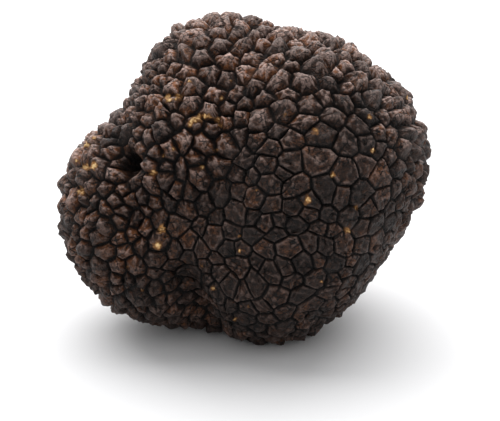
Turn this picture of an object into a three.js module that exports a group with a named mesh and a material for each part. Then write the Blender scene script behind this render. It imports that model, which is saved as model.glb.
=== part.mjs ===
// A black truffle, lying as it would on a table: one lumpy solid covered by several hundred
// polygonal warts with narrow grooves between them. Lengths are in millimetres, +Z is up, the
// side with the deep pit and the broad warts faces -Y, and the origin is under the middle of it.
//
// The body is one height over direction, seen from CORE: every point of it lies on its own straight
// line. The skin is that body with the furrows cut in and the warts raised on it.

import * as THREE from 'three';
import { ConvexHull } from 'three/addons/math/ConvexHull.js';

// ---- the lumpy body, at the level of the groove floors ----
const CORE = new THREE.Vector3(-4, 5, 22);
const LOBE_BLEND = 0.42; // per mm: how tightly the lobes flow into each other
const LOBES = [
  { name: 'main', centre: [8.9, 2, 28.2], radii: [18, 20.3, 18.1] },
  { name: 'flank', centre: [7.7, 0, 18], radii: [13.2, 17, 13.4] },
  { name: 'chin', centre: [2.3, -3.8, 13.7], radii: [13, 13.3, 13.1] },
  { name: 'left', centre: [-16.7, 1, 18.9], radii: [13.2, 14, 15.2] },
  { name: 'heel', centre: [-12.2, 0, 12], radii: [10, 11, 8.9] },
  { name: 'top', centre: [-4.5, 10, 36], radii: [12, 13, 11.4] },
  { name: 'ridge', centre: [-10.4, -1, 30.2], radii: [8.8, 11, 10.7] },
  { name: 'back', centre: [3, 11, 22], radii: [20, 15, 18] },
  { name: 'foot', centre: [1, 4, 13.4], radii: [12, 12, 12.3] },
];
const FURROWS = [
  { name: 'notch', from: [-22, 3, 34.6], to: [-19.6, -5.6, 32.4], depth: 0.8, width: 3 },
  { name: 'pit', from: [-20.1, -7.9, 31.5], to: [-19.3, -8.8, 30.9], depth: 5, width: 1.8 },
  { name: 'seam', from: [-18.9, -8.8, 27.4], to: [-17.6, -12.8, 22.6], depth: 1.8, width: 2.4 },
  { name: 'crease', from: [-10.6, -14.2, 13.5], to: [-7, -11, 3], depth: 3, width: 2.8 },
  { name: 'hollow', from: [-2, -17.8, 17], to: [6, -19, 18.2], depth: 1.3, width: 4 },
  { name: 'shoulder', from: [22, -2, 42], to: [21, 16, 42], depth: 1.2, width: 7 },
  { name: 'undercut', from: [22.5, -5, 15], to: [17, 3, 5], depth: 0.5, width: 6 },
  { name: 'jowl', from: [-26, -4, 10.5], to: [-25, 5, 10.5], depth: 0.7, width: 5 },
];
const FARTHEST_SKIN = 60; // no point of the body is farther from CORE than this
const HALVINGS = 34; // steps of the search for the skin along a line

// ---- the warts ----
const WART_PITCH = 3.2; // from the middle of a wart to the middle of the next
const SMALLEST_GAP = 0.76; // of the pitch, between two middles when they are first placed
const TRIAL_POINTS = 12000;
const EVENING_ROUNDS = 3;
const EVENING_REACH = 1.55; // of the pitch
const EVENING_RATE = 0.22;
const PITCH_SCATTER = 0.6; // of the pitch, from wart to wart
const SIZE_ZONES = [
  { name: 'broad', centre: [15, -17, 29], reach: 12, gain: 0.04 },
  { name: 'fine', centre: [-6, -14, 8], reach: 14, gain: -0.14 },
  { name: 'pit', centre: [-19, -9, 27], reach: 8, gain: -0.22 },
  { name: 'crown', centre: [4, -2, 46], reach: 15, gain: 0.14 },
  { name: 'far', centre: [6, 34, 20], reach: 20, gain: 0.2 },
];
const CORNER_ROUND = 0.35; // 0: corners at circle centres, 1: at plain means of three middles
const LEAST_SHARE = 0.14; // of any middle in a corner between three
const CORNER_SCATTER = 1.1; // how unevenly the three middles pull a corner

const GROOVE_HALF = 0.4; // from the floor of a groove to the rim of a wart, along the skin
const INSET_LIMIT = 0.34; // of the way from a corner to the middle of the wart
const FLAT_RIM = 0.75; // height of the rim where the warts are flat
const PEAKED_RIM = 0.6;
const FLAT_MIDDLE = 0.72;
const PEAKED_MIDDLE = 1.8; // on a wart of the usual pitch; smaller ones are lower
const TALLEST_MIDDLE = 2.4; // middles level off towards it
const RIM_SCATTER = 0.55; // of the rim height, corner to corner
const MIDDLE_SCATTER = 0.5; // of the middle height, wart to wart
const FLAT_ZONES = [
  { name: 'face', centre: [10, -19, 25.5], reach: 16, gain: 2 },
  { name: 'low', centre: [-5, -14, 9], reach: 13, gain: 0.8 },
  { name: 'fold', centre: [-10, -14, 20], reach: 7, gain: 0.7 },
  { name: 'hip', centre: [20, -10, 9], reach: 12, gain: 0.8 },
];
const FLAT_FADE = 0.35; // taken off the summed zones before it counts as flatness
const RIMMED_FROM = 0.02; // summed zones from which a wart has a rim, and not just a peak

// ---- the spot it rests on ----
const REST_SPOT = { centre: [1.6, 2.4], radius: 6 };
const REST_LEVEL = -0.3;
const UNDERSIDE_BELOW = 11;

const SKIN_COLOUR = 0x3a2f2a;

// What a repeatable random number is for.
const PURPOSE = { pitch: 1, middle: 2, rim: 3, trialHeight: 4, trialTurn: 5, corner: 6 };
const CODE_STEP = 31; // sets the corners of one wart apart from those of the next

/** A repeatable number from 0 to 1, different for every index and purpose. */
function scatter(index, purpose) {
  const wave = Math.sin(index * 12.9898 + purpose * 78.233) * 43758.5453;
  return wave - Math.floor(wave);
}

/** Fades from 1 at a zone's centre to 0 well outside its reach. */
function nearness(point, zone) {
  const gap = point.distanceTo(new THREE.Vector3(...zone.centre)) / zone.reach;
  return Math.exp(-gap * gap);
}

/** Below 0 inside the smooth union of the lobes, above 0 outside it. */
function bodyField(point) {
  let sum = 0;
  for (const { centre, radii } of LOBES) {
    const [x, y, z] = [0, 1, 2].map((i) => (point.getComponent(i) - centre[i]) / radii[i]);
    const meanRadius = (radii[0] + radii[1] + radii[2]) / 3;
    sum += Math.exp(-LOBE_BLEND * (Math.sqrt(x * x + y * y + z * z) - 1) * meanRadius);
  }
  return -Math.log(sum) / LOBE_BLEND;
}

/** Outward normal of the uncut body: the slopes of the lobes, weighted as in its field. */
function bodyNormal(point) {
  const normal = new THREE.Vector3();
  for (const { centre, radii } of LOBES) {
    const scaled = [0, 1, 2].map((i) => (point.getComponent(i) - centre[i]) / radii[i]);
    const ratio = Math.hypot(...scaled);
    const meanRadius = (radii[0] + radii[1] + radii[2]) / 3;
    const weight = (Math.exp(-LOBE_BLEND * (ratio - 1) * meanRadius) * meanRadius) / ratio;
    normal.x += (weight * scaled[0]) / radii[0];
    normal.y += (weight * scaled[1]) / radii[1];
    normal.z += (weight * scaled[2]) / radii[2];
  }
  return normal.normalize();
}

/** How deep all the furrows together cut the skin at a point of it. */
function furrowDepth(point) {
  let depth = 0;
  const nearest = new THREE.Vector3();
  for (const furrow of FURROWS) {
    const line = new THREE.Line3(
      new THREE.Vector3(...furrow.from),
      new THREE.Vector3(...furrow.to),
    );
    line.closestPointToPoint(point, true, nearest);
    const gap = nearest.distanceTo(point) / furrow.width;
    depth += furrow.depth * Math.exp(-gap * gap);
  }
  return depth;
}

/** Distance of the body from CORE along a unit direction, before the furrows are cut. */
function bodyRadius(direction) {
  let inside = 0;
  let outside = FARTHEST_SKIN;
  const point = new THREE.Vector3();
  for (let i = 0; i < HALVINGS; i += 1) {
    const middle = (inside + outside) / 2;
    point.copy(CORE).addScaledVector(direction, middle);
    if (bodyField(point) < 0) inside = middle;
    else outside = middle;
  }
  return inside;
}

/** The point of the uncut body in a direction. */
function bodyPoint(direction) {
  return CORE.clone().addScaledVector(direction, bodyRadius(direction));
}

/** The point of the furrowed skin in a direction, raised along the normal of the uncut body. */
function skinPoint(direction, rise = 0) {
  const point = bodyPoint(direction);
  return point.addScaledVector(bodyNormal(point), rise - furrowDepth(point));
}

/** Unit direction in which a point is seen from CORE. */
function directionOf(point) {
  return point.clone().sub(CORE).normalize();
}

/** Wanted distance from this wart's middle to its neighbours' middles. */
function wartPitch(point, index) {
  let zoned = 1;
  for (const zone of SIZE_ZONES) zoned += zone.gain * nearness(point, zone);
  const own = 1 + PITCH_SCATTER * (scatter(index, PURPOSE.pitch) - 0.5);
  return WART_PITCH * zoned * own;
}

/** The trial direction with this number: any direction is as likely as any other. */
function trialDirection(index) {
  const height = 1 - 2 * scatter(index, PURPOSE.trialHeight);
  const turn = 2 * Math.PI * scatter(index, PURPOSE.trialTurn);
  const ring = Math.sqrt(1 - height * height);
  return new THREE.Vector3(ring * Math.cos(turn), ring * Math.sin(turn), height);
}

/** Middles of the warts: each trial point is kept if no kept one is too close to it. */
function placeWarts() {
  const warts = [];
  for (let i = 1; i <= TRIAL_POINTS; i += 1) {
    const point = bodyPoint(trialDirection(i));
    const pitch = wartPitch(point, i);
    const free = warts.every(
      (wart) => wart.point.distanceTo(point) >= (SMALLEST_GAP * (wart.pitch + pitch)) / 2,
    );
    if (free) warts.push({ point, pitch });
  }
  return warts;
}

/** The push on one wart's middle from all those within its reach. */
function crowding(wart, warts) {
  const push = new THREE.Vector3();
  for (const other of warts) {
    const reach = (EVENING_REACH * (wart.pitch + other.pitch)) / 2;
    const gap = wart.point.distanceTo(other.point);
    if (other === wart || gap >= reach) continue;
    const strength = (1 - gap / reach) ** 2 / gap;
    push.addScaledVector(wart.point.clone().sub(other.point), strength);
  }
  return push.multiplyScalar(EVENING_RATE * wart.pitch);
}

/** Lets the middles push each other apart along the skin until they are evenly crowded. */
function evenOut(warts) {
  for (let round = 0; round < EVENING_ROUNDS; round += 1) {
    const pushes = warts.map((wart) => crowding(wart, warts));
    warts.forEach((wart, i) => {
      wart.point = bodyPoint(directionOf(wart.point.add(pushes[i])));
    });
  }
}

/** Triples of neighbouring warts: the faces of the hull round their directions. */
function neighbourTriples(warts) {
  const directions = warts.map((wart) => directionOf(wart.point));
  const indexOf = new Map(directions.map((direction, i) => [direction, i]));
  const hull = new ConvexHull().setFromPoints(directions);
  return hull.faces.map((face) => {
    const first = face.edge;
    return [first, first.next, first.next.next].map((edge) => indexOf.get(edge.head().point));
  });
}

/** Sine of twice the angle at a, in the triangle a, b, c: its share in the circle's centre. */
function circleShare(a, b, c) {
  const angle = b.clone().sub(a).angleTo(c.clone().sub(a));
  return Math.sin(2 * angle);
}

/** A number for the corner of one wart between it and two others. */
function cornerCode(wartIndex, triple) {
  return wartIndex * CODE_STEP + triple[0] + triple[1] + triple[2];
}

/** Direction of the groove corner where three warts meet, pushed away from the bigger ones. */
function cornerDirection(triple, warts) {
  const [a, b, c] = triple.map((i) => warts[i].point);
  const shares = [circleShare(a, b, c), circleShare(b, c, a), circleShare(c, a, b)];
  const total = shares[0] + shares[1] + shares[2];
  const mean = new THREE.Vector3();
  let weightSum = 0;
  triple.forEach((wartIndex, i) => {
    const blended = (1 - CORNER_ROUND) * (shares[i] / total) + CORNER_ROUND / 3;
    const pull = 1 + CORNER_SCATTER * scatter(cornerCode(wartIndex, triple), PURPOSE.corner);
    const weight = (Math.max(blended, LEAST_SHARE) * pull) / warts[wartIndex].pitch;
    mean.addScaledVector(warts[wartIndex].point, weight);
    weightSum += weight;
  });
  return directionOf(mean.divideScalar(weightSum));
}

/** Flattens whatever reaches below the rest level, and fills the grooves of the rest spot. */
function settle(point) {
  const [spotX, spotY] = REST_SPOT.centre;
  const under = point.z < UNDERSIDE_BELOW;
  const inSpot = under && Math.hypot(point.x - spotX, point.y - spotY) < REST_SPOT.radius;
  if (inSpot || point.z < REST_LEVEL) {
    const stretch = (CORE.z - REST_LEVEL) / (CORE.z - point.z);
    point.sub(CORE).multiplyScalar(stretch).add(CORE);
    point.z = REST_LEVEL;
  }
  return point;
}

/** Heights of one wart: flat-topped in the flat zone, a knob with a peak elsewhere. */
function wartHeights(wart, index) {
  let zoned = 0;
  for (const zone of FLAT_ZONES) {
    zoned += zone.gain * nearness(wart.point, zone);
  }
  const flat = THREE.MathUtils.clamp(zoned - FLAT_FADE, 0, 1);
  const peak = (PEAKED_MIDDLE * wart.pitch) / WART_PITCH;
  const spread = 1 + MIDDLE_SCATTER * (scatter(index, PURPOSE.middle) - 0.5);
  const middle = THREE.MathUtils.lerp(peak, FLAT_MIDDLE, flat) * spread;
  return {
    rimmed: zoned >= RIMMED_FROM,
    rim: THREE.MathUtils.lerp(PEAKED_RIM, FLAT_RIM, flat),
    middle: TALLEST_MIDDLE * Math.tanh(middle / TALLEST_MIDDLE),
  };
}

/** The rim point of a wart next to one of its groove corners; `code` tells it from the others. */
function rimPoint(corner, wart, height, code) {
  const reach = corner.distanceTo(wart.point);
  const share = Math.min(GROOVE_HALF / reach, INSET_LIMIT);
  const direction = directionOf(corner.clone().lerp(wart.point, share));
  const uneven = 1 + RIM_SCATTER * (scatter(code, PURPOSE.rim) - 0.5);
  return skinPoint(direction, height * uneven);
}

/** For each wart, its groove corners in turn, as [corner, next corner] pairs. */
function wartSides(triples, count) {
  const cornerAfter = new Map();
  triples.forEach((triple, cornerIndex) => {
    triple.forEach((a, i) => cornerAfter.set(a * count + triple[(i + 1) % 3], cornerIndex));
  });
  const sides = Array.from({ length: count }, () => []);
  for (const [key, corner] of cornerAfter) {
    const a = Math.floor(key / count);
    const b = key % count;
    sides[a].push([cornerAfter.get(b * count + a), corner]);
  }
  return sides;
}

/** All triangles of the skin: for each side of each wart, its slope, or its wall and top. */
function skinTriangles() {
  const warts = placeWarts();
  evenOut(warts);
  const triples = neighbourTriples(warts);
  const corners = triples.map((triple) => bodyPoint(cornerDirection(triple, warts)));
  const floors = corners.map((corner) => settle(skinPoint(directionOf(corner))));
  const triangles = [];
  wartSides(triples, warts.length).forEach((sides, index) => {
    const wart = warts[index];
    const { rimmed, rim, middle } = wartHeights(wart, index);
    const peak = settle(skinPoint(directionOf(wart.point), middle));
    const rims = new Map();
    for (const [corner] of sides) {
      const code = cornerCode(index, triples[corner]);
      rims.set(corner, settle(rimPoint(corners[corner], wart, rim, code)));
    }
    for (const [start, end] of sides) {
      const [a, b] = [floors[start], floors[end]];
      const [c, d] = [rims.get(end), rims.get(start)];
      if (rimmed) triangles.push([a, b, c], [a, c, d], [d, c, peak]);
      else triangles.push([a, b, peak]);
    }
  });
  return triangles;
}

/** The skin as one mesh, moved so that its box stands centred on the origin. */
function truffle() {
  const points = skinTriangles().flat();
  const box = new THREE.Box3().setFromPoints(points);
  const middle = box.getCenter(new THREE.Vector3());
  const shift = new THREE.Vector3(-middle.x, -middle.y, -box.min.z);
  const geometry = new THREE.BufferGeometry().setFromPoints(points.map((p) => p.clone().add(shift)));
  geometry.computeVertexNormals();
  const material = new THREE.MeshStandardMaterial({ color: SKIN_COLOUR, roughness: 0.8 });
  const mesh = new THREE.Mesh(geometry, material);
  mesh.name = 'truffle';
  return mesh;
}

const part = new THREE.Group();
part.name = 'black_truffle';
part.add(truffle());

export default part;
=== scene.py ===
"""A black truffle on a pale floor, dressed from the same named values as its solid.

The skin is one height over direction. A body of smoothly joined lobes is seen from a point inside
it, several hundred wart middles are spread over that body, and every wart is a polygon between
narrow grooves. Here each side of each wart is a fine triangular grid, with a steep groove wall, a
rim, and a worn and pitted top. Lengths are in millimetres until a mesh is written, in metres.
"""

import logging
import math
from dataclasses import dataclass, field
from enum import Enum

import bpy
import numpy as np
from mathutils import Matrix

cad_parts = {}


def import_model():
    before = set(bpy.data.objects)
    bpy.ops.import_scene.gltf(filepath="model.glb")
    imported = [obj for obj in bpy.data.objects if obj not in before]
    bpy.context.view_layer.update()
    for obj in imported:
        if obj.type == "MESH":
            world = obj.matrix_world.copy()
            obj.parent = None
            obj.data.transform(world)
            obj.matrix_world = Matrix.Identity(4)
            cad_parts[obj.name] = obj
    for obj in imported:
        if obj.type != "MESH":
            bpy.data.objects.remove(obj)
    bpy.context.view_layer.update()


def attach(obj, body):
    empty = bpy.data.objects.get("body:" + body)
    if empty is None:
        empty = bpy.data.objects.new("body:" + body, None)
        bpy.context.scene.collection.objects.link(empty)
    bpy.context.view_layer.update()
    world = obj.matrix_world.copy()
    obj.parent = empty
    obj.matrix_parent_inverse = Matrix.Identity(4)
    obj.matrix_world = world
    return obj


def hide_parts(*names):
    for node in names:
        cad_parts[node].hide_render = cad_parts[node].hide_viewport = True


LOG = logging.getLogger("truffle")
METRES = 0.001

# ---- repeatable random numbers and noise ----
INDEX_TURN = 12.9898
PURPOSE_TURN = 78.233
WAVE_HEIGHT = 43758.5453
SEED_SHIFT = 17.31
CELL_FACTORS = (73856093, 19349663, 83492791)
CELL_BITS = 0xFFFFFF
CODE_FACTOR = 2654435761
SEED_FACTOR = 40503
CODE_BITS = 0xFFFFFFFF
SLOPE_SHIFTS = (2, 12, 22)
SLOPE_BITS = 1023
NOISE_GAIN = 1.3

# ---- the lumpy body, at the level of the groove floors ----
CORE = np.array((-4.0, 5.0, 22.0))
LOBE_BLEND = 0.42
FARTHEST_SKIN = 60.0
HALVINGS = 34

# ---- the warts ----
WART_PITCH = 3.2
SMALLEST_GAP = 0.76
TRIAL_POINTS = 12000
EVENING_ROUNDS = 3
EVENING_REACH = 1.55
EVENING_RATE = 0.22
PITCH_SCATTER = 0.6
CORNER_ROUND = 0.35
LEAST_SHARE = 0.14
CORNER_SCATTER = 1.1
GROOVE_HALF = 0.4
INSET_LIMIT = 0.34
FLAT_RIM = 0.75
PEAKED_RIM = 0.6
FLAT_MIDDLE = 0.72
PEAKED_MIDDLE = 1.8
RIM_SCATTER = 0.55
MIDDLE_SCATTER = 0.5
TALLEST_MIDDLE = 2.4
CODE_STEP = 31
TOP_CODE_STEP = 13
FLAT_FADE = 0.35
RIMMED_FROM = 0.02
PLANE_SLACK = 1e-12
SEAM_DIGITS = 6

# ---- the finish ----
NOISE_MEAN = 0.5
# Every node tree ends in a shader and an output.
MATERIAL_END = ("ShaderNodeBsdfPrincipled", "ShaderNodeOutputMaterial")
WORLD_END = ("ShaderNodeBackground", "ShaderNodeOutputWorld")

# ---- the spot it rests on ----
REST_CENTRE = (1.6, 2.4)
REST_RADIUS = 6.0
REST_LEVEL = -0.3
UNDERSIDE_BELOW = 11.0


class Purpose(Enum):
    """What a repeatable random number is for; the first six are shared with the solid."""

    PITCH = 1
    MIDDLE = 2
    RIM = 3
    TRIAL_HEIGHT = 4
    TRIAL_TURN = 5
    CORNER = 6
    TONE = 7
    LEAN_X = 8
    LEAN_Y = 9
    LEAN_Z = 10
    CAP = 11
    FLECK = 12
    FLECK_SIZE = 13
    NICK = 14
    RIDGE = 15


def scatter(index: np.ndarray, purpose: Purpose) -> np.ndarray:
    """Repeatable numbers from 0 to 1: the fraction of a steep sine of index and purpose.

    Args:
        index: Whole numbers that tell the things apart.
        purpose: What the numbers are for.

    Returns:
        One number for each index.
    """
    wave = np.sin(index * INDEX_TURN + purpose.value * PURPOSE_TURN) * WAVE_HEIGHT
    return wave - np.floor(wave)


@dataclass(frozen=True)
class Noise:
    """Smooth noise made of slopes hashed at the corners of a grid of cubes.

    Attributes:
        grain: Edge of a cube, in millimetres.
        seed: Picks one noise among many.
    """

    grain: float
    seed: int

    def at(self, points: np.ndarray) -> np.ndarray:
        """Each corner's slope times the distance from it, eased between the eight corners.

        The ease is 6 t^5 - 15 t^4 + 10 t^3 of the share t of the way along each edge.

        Args:
            points: Places, in millimetres.

        Returns:
            One value, about -1 to 1, for each place.
        """
        scaled = points / self.grain + SEED_SHIFT * self.seed
        cell = np.floor(scaled).astype(np.int64)
        part = scaled - cell
        ease = part**3 * (part * (part * 6 - 15) + 10)
        total = np.zeros(points.shape[:-1])
        for corner in np.ndindex(2, 2, 2):
            code = np.bitwise_xor.reduce((cell + corner) * np.array(CELL_FACTORS), axis=-1)
            code = ((code & CELL_BITS) * CODE_FACTOR + self.seed * SEED_FACTOR) & CODE_BITS
            steps = np.stack([(code >> shift) & SLOPE_BITS for shift in SLOPE_SHIFTS], -1)
            slope = steps / (SLOPE_BITS / 2) - 1
            share = np.where(corner, ease, 1 - ease).prod(-1)
            total += share * (slope * (part - corner)).sum(-1)
        return NOISE_GAIN * total


def smooth_step(value: np.ndarray, low: float, high: float) -> np.ndarray:
    """0 below low, 1 above high, and an even S-curve between."""
    share = np.clip((value - low) / (high - low), 0, 1)
    return share * share * (3 - 2 * share)


def unit(vectors: np.ndarray) -> np.ndarray:
    """The same directions with length 1."""
    return vectors / np.linalg.norm(vectors, axis=-1, keepdims=True)


@dataclass(frozen=True)
class Zone:
    """A soft round region of the body.

    Attributes:
        centre: Its middle.
        reach: Distance over which it fades.
        gain: What it adds at its middle, or takes away if below 0.
    """

    centre: tuple[float, float, float]
    reach: float
    gain: float

    def nearness(self, points: np.ndarray) -> np.ndarray:
        """1 at the centre, falling by a bell curve of the distance over the reach."""
        gap = np.linalg.norm(points - np.array(self.centre), axis=-1) / self.reach
        return np.exp(-gap * gap)


def summed(zones: tuple[Zone, ...], points: np.ndarray) -> np.ndarray:
    """Sum over the zones of gain times nearness, for each point."""
    return sum(zone.gain * zone.nearness(points) for zone in zones)


@dataclass(frozen=True)
class Lobe:
    """One swelling of the body, an ellipsoid with its axes along the frame's.

    Attributes:
        name: What it is called.
        centre: Its middle.
        radii: Its half widths along the three axes.
    """

    name: str
    centre: tuple[float, float, float]
    radii: tuple[float, float, float]


@dataclass(frozen=True)
class Furrow:
    """A soft dent along a straight stretch of the skin.

    Attributes:
        name: What it is called.
        start: One end of the stretch.
        end: The other end.
        depth: How deep it is.
        width: Distance over which it fades.
    """

    name: str
    start: tuple[float, float, float]
    end: tuple[float, float, float]
    depth: float
    width: float

    def cut(self, points: np.ndarray) -> np.ndarray:
        """Depth of the dent: a bell curve of the distance to the stretch.

        Args:
            points: Places on the body.

        Returns:
            How far the skin is lowered at each.
        """
        start, end = np.array(self.start), np.array(self.end)
        along = end - start
        share = np.clip((points - start) @ along / (along @ along), 0, 1)
        gap = np.linalg.norm(points - start - share[..., None] * along, axis=-1) / self.width
        return self.depth * np.exp(-gap * gap)


@dataclass(frozen=True)
class Body:
    """The lumpy shape under the warts.

    Attributes:
        lobes: Swellings that flow into each other.
        furrows: Dents in what they make together.
    """

    lobes: tuple[Lobe, ...] = (
        Lobe("main", (8.9, 2, 28.2), (18, 20.3, 18.1)),
        Lobe("flank", (7.7, 0, 18), (13.2, 17, 13.4)),
        Lobe("chin", (2.3, -3.8, 13.7), (13, 13.3, 13.1)),
        Lobe("left", (-16.7, 1, 18.9), (13.2, 14, 15.2)),
        Lobe("heel", (-12.2, 0, 12), (10, 11, 8.9)),
        Lobe("top", (-4.5, 10, 36), (12, 13, 11.4)),
        Lobe("ridge", (-10.4, -1, 30.2), (8.8, 11, 10.7)),
        Lobe("back", (3, 11, 22), (20, 15, 18)),
        Lobe("foot", (1, 4, 13.4), (12, 12, 12.3)),
    )
    furrows: tuple[Furrow, ...] = (
        Furrow("notch", (-22, 3, 34.6), (-19.6, -5.6, 32.4), 0.8, 3),
        Furrow("pit", (-20.1, -7.9, 31.5), (-19.3, -8.8, 30.9), 5, 1.8),
        Furrow("seam", (-18.9, -8.8, 27.4), (-17.6, -12.8, 22.6), 1.8, 2.4),
        Furrow("crease", (-10.6, -14.2, 13.5), (-7, -11, 3), 3, 2.8),
        Furrow("hollow", (-2, -17.8, 17), (6, -19, 18.2), 1.3, 4),
        Furrow("shoulder", (22, -2, 42), (21, 16, 42), 1.2, 7),
        Furrow("undercut", (22.5, -5, 15), (17, 3, 5), 0.5, 6),
        Furrow("jowl", (-26, -4, 10.5), (-25, 5, 10.5), 0.7, 5),
    )

    def field(self, points: np.ndarray) -> np.ndarray:
        """Below 0 inside: minus the log of the summed exponentials of each lobe's depth.

        Args:
            points: Places to test.

        Returns:
            Rough distance out of the smooth union of the lobes.
        """
        total = np.zeros(points.shape[:-1])
        for lobe in self.lobes:
            radii = np.array(lobe.radii)
            ratio = np.linalg.norm((points - np.array(lobe.centre)) / radii, axis=-1)
            total += np.exp(-LOBE_BLEND * (ratio - 1) * radii.mean())
        return -np.log(total) / LOBE_BLEND

    def point(self, directions: np.ndarray) -> np.ndarray:
        """Where lines from the core meet the uncut body, found by halving.

        Args:
            directions: Unit vectors out of the core.

        Returns:
            One place for each direction.
        """
        inside = np.zeros(directions.shape[:-1])
        outside = np.full(directions.shape[:-1], FARTHEST_SKIN)
        for _ in range(HALVINGS):
            middle = (inside + outside) / 2
            within = self.field(CORE + directions * middle[..., None]) < 0
            inside = np.where(within, middle, inside)
            outside = np.where(within, outside, middle)
        return CORE + directions * inside[..., None]

    def cut(self, points: np.ndarray) -> np.ndarray:
        """How deep all the furrows together lower the skin at places of the body."""
        return sum(furrow.cut(points) for furrow in self.furrows)

    def normal(self, points: np.ndarray) -> np.ndarray:
        """Outward normal of the uncut body: the slopes of the lobes, weighted as in the field.

        Args:
            points: Places on the body.

        Returns:
            One unit vector for each place.
        """
        total = np.zeros(points.shape)
        for lobe in self.lobes:
            radii = np.array(lobe.radii)
            scaled = (points - np.array(lobe.centre)) / radii
            ratio = np.linalg.norm(scaled, axis=-1, keepdims=True)
            weight = np.exp(-LOBE_BLEND * (ratio - 1) * radii.mean()) * radii.mean()
            total += weight * scaled / (radii * ratio)
        return unit(total)

    def skin(self, directions: np.ndarray, rise: np.ndarray) -> np.ndarray:
        """The furrowed skin, raised along the normal: body, less the furrows, plus the rise.

        Args:
            directions: Unit vectors out of the core.
            rise: Height over the groove floors in each direction.

        Returns:
            One place for each direction.
        """
        places = self.point(directions)
        return places + self.normal(places) * (rise - self.cut(places))[..., None]


def settle(points: np.ndarray) -> np.ndarray:
    """Flattens what reaches below the rest level, and fills the grooves of the rest spot.

    Args:
        points: Places on the skin.

    Returns:
        The same places, with those of the spot brought to its level along their lines.
    """
    gap = np.hypot(points[..., 0] - REST_CENTRE[0], points[..., 1] - REST_CENTRE[1])
    spot = (points[..., 2] < UNDERSIDE_BELOW) & (gap < REST_RADIUS)
    flat = spot | (points[..., 2] < REST_LEVEL)
    stretch = (CORE[2] - REST_LEVEL) / (CORE[2] - np.where(flat, points[..., 2], 0))
    moved = CORE + (points - CORE) * stretch[..., None]
    return np.where(flat[..., None], moved, points)


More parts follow.
